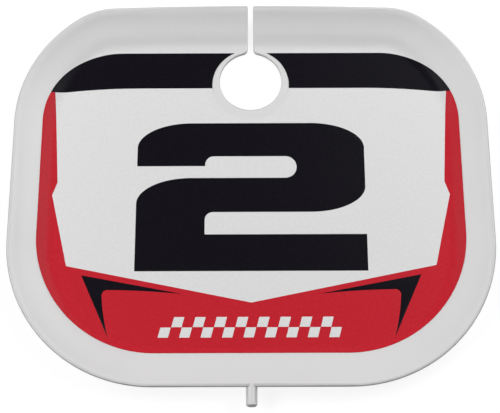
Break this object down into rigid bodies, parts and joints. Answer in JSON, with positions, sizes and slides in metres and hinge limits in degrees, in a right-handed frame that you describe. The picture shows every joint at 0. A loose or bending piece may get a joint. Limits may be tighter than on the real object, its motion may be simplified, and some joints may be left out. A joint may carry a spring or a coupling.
{
  "type": "racing number board",
  "caption": "Dished plastic race number board with a flared rim, a slit running into a cable hole, a locating peg on its lower edge and a printed sheet in white, black and red.",
  "frame": {"origin": "middle of the cable hole, half way through its wall", "axes": "board lying on its back: +Z out of the printed face, +Y from the peg to the slit, +X to the right of the reader"},
  "size_m": [0.254, 0.222, 0.0125],
  "materials": {
    "moulded_plastic": "satin white, fine moulded grain",
    "vinyl_white": "satin laminate over white print",
    "vinyl_black": "satin laminate over black print",
    "vinyl_red": "satin laminate over red print"
  },
  "bodies": {
    "root": {"number_board": "moulded_plastic", "decal_black_band": "vinyl_black", "decal_black_darts": "vinyl_black", "decal_red_border": "vinyl_red", "decal_white_chequers": "vinyl_white", "decal_white_field": "vinyl_white", "race_number": "vinyl_black"}
  },
  "joints": []
}
